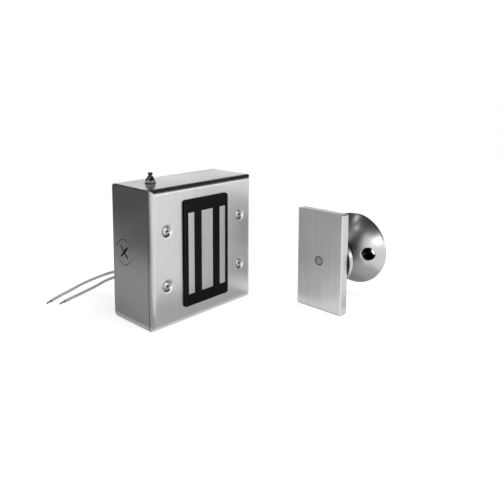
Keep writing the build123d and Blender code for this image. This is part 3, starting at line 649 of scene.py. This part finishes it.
# Its edges come out up to 40 times lighter: a painted highlight.
black_case = moulded("satin black moulding", (0.0015, 0.0015, 0.0015), 0.36, edge=40.0)
black_case.shader.inputs["Specular IOR Level"].default_value = 0.1
gloss_black = moulded("glossy black moulding", (0.012, 0.012, 0.012), 0.2,
                      grain=3000.0, depth=0.000008, edge=1.6)
potting = moulded("potting compound", (0.02, 0.02, 0.024), 0.35,
                  grain=300.0, depth=0.00008, edge=1.2)
nylon = moulded("natural nylon", (0.7, 0.67, 0.6), 0.45,
                grain=1500.0, depth=0.00002, edge=1.05)
rubber = moulded("black rubber", (0.02, 0.02, 0.02), 0.62,
                 grain=1300.0, depth=0.00003, edge=1.4)
lead_cover = moulded("wire cover", (0.62, 0.62, 0.61), 0.4,
                     grain=1400.0, depth=0.00001, edge=1.03)
print("moulded finishes ready")

# %% [markdown]
# ## Wound copper
# The coil is wound from enamelled wire. Its turns could be modelled, but they are hidden in the
# case, so the CAD model has one solid for all of them. A wave along the depth of the coil draws the
# turns on it as bumps, with painted shade between them and a painted highlight on them.

# %% Wound copper
WIRE_PITCH = 0.0005
WAVE_TURN = 6.2832


def wound(name, colour, roughness, pitch):
    """Enamelled wire in even turns that follow the depth of the coil: bumps, with painted shade
    between the turns and a painted highlight on them.
    """
    finish = Finish(name, colour, roughness, metallic=1.0)
    settings = {"Vector": finish.place, "Scale": 1.0 / pitch / WAVE_TURN, "Distortion": 0.4,
                "Detail": 1.0}
    wave = finish.node("TexWave", settings, wave_type="BANDS", bands_direction="Y")
    turns = wave.outputs["Fac"]
    cloud = finish.noise(finish.place, scale=120.0, detail=2.0, roughness=0.5)
    # Painted shade between the turns, and a painted highlight on them.
    turn_shade_and_highlight = finish.spread(turns, 0.0, 1.0, 0.55, 1.1)
    finish.set("Base Color", finish.tint(finish.product(turn_shade_and_highlight, finish.vary(cloud, 0.9, 1.1))))
    finish.set("Roughness", finish.vary(cloud, roughness - 0.05, roughness + 0.1))
    finish.relief(turns, depth=0.0001)
    return finish


copper = wound("enamelled copper", (0.55, 0.24, 0.11), 0.3, WIRE_PITCH)
print("finishes:", len(bpy.data.materials))

# %% [markdown]
# ## The threaded bushing
# The push button works in a threaded sleeve. The CAD model has a plain sleeve, because a thread
# makes a heavy solid. A bump in the finish could draw the thread, but its outline shows above the
# nut, so it is modelled: one tooth is carried round and up by a Screw modifier, two cuts trim the
# ends, and a Boolean with a drill follows. The cuts take every corner within 0.1 mm of them as
# lying on them, which is coarse for so small a piece. The ends come out uneven and open, and the
# Boolean leaves a thin threaded shell without a wall in its bore.

# %% Helpers for modelling
MERGE_DISTANCE = 0.00001


def select_only(*pieces):
    """Selects some pieces and nothing else, and makes the first of them active."""
    bpy.ops.object.select_all(action="DESELECT")
    for piece in pieces:
        piece.select_set(True)
    bpy.context.view_layer.objects.active = pieces[0]


def select_all_over():
    """Selects the whole mesh that is being edited."""
    bpy.ops.mesh.select_all(action="SELECT")


def carry_up(piece, rise, turns, steps):
    """Carries an outline round the Z axis, and up by a rise with each turn."""
    carrying = piece.modifiers.new("carrying", "SCREW")
    carrying.axis = "Z"
    carrying.angle = 2 * math.pi
    carrying.screw_offset = rise
    carrying.iterations = turns
    carrying.steps = steps
    carrying.render_steps = steps
    bpy.ops.object.modifier_apply(modifier="carrying")


def settle(piece, angle=35.0):
    """Moves the place of a piece into its mesh, and smooths it but for its sharp edges."""
    select_only(piece)
    bpy.ops.object.transform_apply(location=True, rotation=True, scale=True)
    bpy.ops.object.shade_smooth_by_angle(angle=math.radians(angle))
    bpy.ops.object.select_all(action="DESELECT")


print("modelling helpers ready")

# %% Draw one tooth of the thread
sleeve_low, sleeve_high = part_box("switch_bushing")
SLEEVE_RADIUS = (sleeve_high[0] - sleeve_low[0]) / 2
SLEEVE_MIDDLE = ((sleeve_low[0] + sleeve_high[0]) / 2, (sleeve_low[1] + sleeve_high[1]) / 2)
THREAD_PITCH = 0.0007
THREAD_DEPTH = 0.0004
CREST_SHARE = 0.15
half_way_in = SLEEVE_RADIUS - THREAD_DEPTH / 2

bpy.ops.object.select_all(action="DESELECT")
bpy.ops.mesh.primitive_plane_add(size=1.0, location=(0.0, 0.0, 0.0),
                                 rotation=(math.pi / 2, 0.0, 0.0))
bushing = bpy.context.object
bushing.name = "threaded_bushing"
bushing.scale = (THREAD_DEPTH, THREAD_PITCH, 1.0)
bpy.ops.object.transform_apply(location=False, rotation=True, scale=True)
bushing.location = (half_way_in, 0.0, sleeve_low[2] - THREAD_PITCH)
bpy.ops.object.transform_apply(location=True, rotation=False, scale=False)

bpy.ops.object.mode_set(mode="EDIT")
select_all_over()
bpy.ops.mesh.delete(type="ONLY_FACE")
bpy.ops.mesh.select_mode(type="EDGE")
bpy.ops.mesh.select_all(action="DESELECT")
bpy.ops.object.mode_set(mode="OBJECT")
corners = bushing.data.vertices
for edge in bushing.data.edges:
    edge.select = max(corners[i].co.x for i in edge.vertices) < half_way_in
bpy.ops.object.mode_set(mode="EDIT")
bpy.ops.mesh.delete(type="EDGE")
bpy.ops.mesh.select_mode(type="VERT")
bpy.ops.mesh.select_all(action="DESELECT")
bpy.ops.object.mode_set(mode="OBJECT")
for corner in bushing.data.vertices:
    corner.select = corner.co.x > half_way_in
bpy.ops.object.mode_set(mode="EDIT")
bpy.ops.transform.resize(value=(1.0, 1.0, CREST_SHARE))
bpy.ops.object.mode_set(mode="OBJECT")
print("tooth:", len(bushing.data.vertices), "corners and", len(bushing.data.edges), "edges")

# %% Carry the tooth up
THREAD_STEPS = 40
thread_turns = int((sleeve_high[2] - sleeve_low[2]) / THREAD_PITCH) + 3
carry_up(bushing, THREAD_PITCH, thread_turns, THREAD_STEPS)
print("thread of", thread_turns, "turns:", len(bushing.data.polygons), "faces")

# %% Trim and bore the bushing
SLEEVE_BORE = 0.00175
DRILL_SIDES = 40
DRILL_LENGTH = 0.02

bpy.ops.object.mode_set(mode="EDIT")
select_all_over()
bpy.ops.mesh.remove_doubles(threshold=MERGE_DISTANCE)
for height, upward in ((sleeve_high[2], 1.0), (sleeve_low[2], -1.0)):
    select_all_over()
    bpy.ops.mesh.bisect(plane_co=(0.0, 0.0, height), plane_no=(0.0, 0.0, upward),
                        use_fill=True, clear_outer=True)
select_all_over()
bpy.ops.mesh.normals_make_consistent(inside=False)
bpy.ops.object.mode_set(mode="OBJECT")
bpy.ops.mesh.primitive_cylinder_add(vertices=DRILL_SIDES, radius=SLEEVE_BORE, depth=DRILL_LENGTH,
                                    location=(0.0, 0.0, (sleeve_low[2] + sleeve_high[2]) / 2))
drill = bpy.context.object
select_only(bushing)
boring = bushing.modifiers.new("bore", "BOOLEAN")
boring.object = drill
boring.operation = "DIFFERENCE"
boring.solver = "EXACT"
bpy.ops.object.modifier_apply(modifier="bore")
bpy.data.objects.remove(drill)
bushing.location = (*SLEEVE_MIDDLE, 0.0)
settle(bushing)
bushing.data.materials.append(bright_plating.material)
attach(bushing, "base")
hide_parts("switch_bushing")
print("bushing:", [round(v * 1000, 2) for v in bushing.dimensions], "mm")

# %% [markdown]
# ## The button's spring
# The coil spring under the button gets shorter when the button is pressed. If it were a stiff
# piece that rode with the button, the button would go into its coils. It is a small ring carried up
# like the thread, in one stiff piece of one length.

# %% Wind the spring
spring_low, spring_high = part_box("button_spring")
SPRING_WIRE = 0.00022
SPRING_TURNS = 5
SPRING_STEPS = 32
WIRE_SIDES = 10
spring_radius = (spring_high[0] - spring_low[0]) / 2 - SPRING_WIRE
spring_rise = spring_high[2] - spring_low[2] - 2 * SPRING_WIRE

bpy.ops.object.select_all(action="DESELECT")
bpy.ops.mesh.primitive_circle_add(vertices=WIRE_SIDES, radius=SPRING_WIRE,
                                  location=(0.0, 0.0, 0.0), rotation=(math.pi / 2, 0.0, 0.0))
spring = bpy.context.object
spring.name = "coil_spring"
spring.location = (spring_radius, 0.0, spring_low[2] + SPRING_WIRE)
bpy.ops.object.transform_apply(location=True, rotation=True, scale=True)
carry_up(spring, spring_rise / SPRING_TURNS, SPRING_TURNS, SPRING_STEPS)
bpy.ops.object.mode_set(mode="EDIT")
select_all_over()
bpy.ops.mesh.remove_doubles(threshold=MERGE_DISTANCE)
select_all_over()
bpy.ops.mesh.fill_holes(sides=0)
select_all_over()
bpy.ops.mesh.normals_make_consistent(inside=False)
bpy.ops.object.mode_set(mode="OBJECT")
spring.location = (*SLEEVE_MIDDLE, 0.0)
settle(spring)
spring.data.materials.append(bright_plating.material)
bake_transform(spring)
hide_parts("button_spring")
print("spring:", [round(v * 1000, 2) for v in spring.dimensions], "mm")

# %% [markdown]
# ## The stripped ends
# Where a lead is stripped, seven fine wires show, twisted together and dipped in solder. A plain
# rod could stand for them, but the twist catches the light. One straight wire is made and copied
# six times round itself, and the seven are joined and twisted together.

# %% Twist the strands
STRAND_RADIUS = 0.00021
STRAND_LENGTH = 0.006
STRAND_SIDES = 12
STRAND_CUTS = 16
STRAND_TWIST = 200.0
STRAND_SPACING = 2.04


def straight_strand():
    """One wire that stands at the origin, cut across in many places so that it can be twisted."""
    bpy.ops.object.select_all(action="DESELECT")
    bpy.ops.mesh.primitive_cylinder_add(vertices=STRAND_SIDES, radius=STRAND_RADIUS,
                                        depth=STRAND_LENGTH,
                                        location=(0.0, 0.0, STRAND_LENGTH / 2))
    bpy.ops.object.transform_apply(location=True, rotation=True, scale=True)
    bpy.ops.object.mode_set(mode="EDIT")
    for cut in range(1, STRAND_CUTS):
        select_all_over()
        bpy.ops.mesh.bisect(plane_co=(0.0, 0.0, STRAND_LENGTH * cut / STRAND_CUTS),
                            plane_no=(0.0, 0.0, 1.0))
    bpy.ops.object.mode_set(mode="OBJECT")
    return bpy.context.object


def stripped_end(name, start, heading):
    """Seven twisted strands from a point, along a level heading."""
    tip = straight_strand()
    tip.name = name
    strands = [tip]
    for number in range(1, 7):
        select_only(tip)
        bpy.ops.object.duplicate()
        turn = math.radians(60 * number)
        reach = STRAND_SPACING * STRAND_RADIUS
        bpy.context.object.location = (reach * math.cos(turn), reach * math.sin(turn), 0.0)
        bpy.ops.object.transform_apply(location=True, rotation=True, scale=True)
        strands.append(bpy.context.object)
    select_only(*strands)
    bpy.ops.object.join()
    twisting = tip.modifiers.new("twist", "SIMPLE_DEFORM")
    twisting.deform_method = "TWIST"
    twisting.deform_axis = "Z"
    twisting.angle = math.radians(STRAND_TWIST)
    bpy.ops.object.modifier_apply(modifier="twist")
    tip.rotation_euler = Vector(heading).to_track_quat("Z", "Y").to_euler()
    tip.location = start
    settle(tip)
    return tip


for name, route in LEAD_ROUTES.items():
    end = Vector(route[-1]) / MM_IN_A_METRE
    before = Vector(route[-2]) / MM_IN_A_METRE
    tip = stripped_end(name + "_strands", end, end - before)
    tip.data.materials.append(tin_plating.material)
    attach(tip, "base")
    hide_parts(name + "_tip")

# %% [markdown]
# ## Dressing the CAD pieces
# Most pieces are right as the CAD model gives them: folded sheet, turned and ground steel, moulded
# plastic. They could be modelled again, but their sizes would only get worse. Each keeps its mesh
# and takes its finish.

# %% Give each CAD piece its finish
DRESSED = {
    sheet_over: ["box_wrap"],
    sheet_up: ["left_side_plate", "right_side_plate", "cover_plate", "screw_tabs"],
    screw_plating: ["cover_screws", "core_screws", "bracket_nuts", "weld_studs", "snap_ring",
                    "cup_spring"],
    black_case: ["magnet_case"],
    potting: ["potting_plug"],
    ground_pole: ["magnet_core"],
    nylon: ["coil_bobbin", "swivel_liner"],
    copper: ["coil_winding"],
    zinc_plating: ["magnet_bracket"],
    gloss_black: ["switch_body", "push_button"],
    bright_plating: ["lock_washer", "switch_nut"],
    tin_plating: ["switch_terminals"],
    rubber: ["wire_grommet"],
    lead_cover: ["inner_lead_1", "inner_lead_2", "link_wire"],
    ground_plate: ["catch_plate"],
    turned_pin: ["plate_pin"],
    turned_foot: ["door_foot", "backing_disc", "ball_stud", "seat_plug"],
}
for finish, names in DRESSED.items():
    for name in names:
        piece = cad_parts[name]
        piece.data.materials.clear()
        piece.data.materials.append(finish.material)
print("CAD pieces dressed:", sum(len(names) for names in DRESSED.values()))

# %% [markdown]
# ## Finishing the leads
# A finished lead is a stiff shape like any other, and here it stays so. Each lead takes the wire
# cover finish, rides with the box, as its stripped end does, and replaces its CAD tube.

for name, lead in leads.items():
    lead.data.materials.append(lead_cover.material)
    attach(lead, "base")
    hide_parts(name)

# %% [markdown]
# ## Closing

# %% Finish
print("end of the dressing")
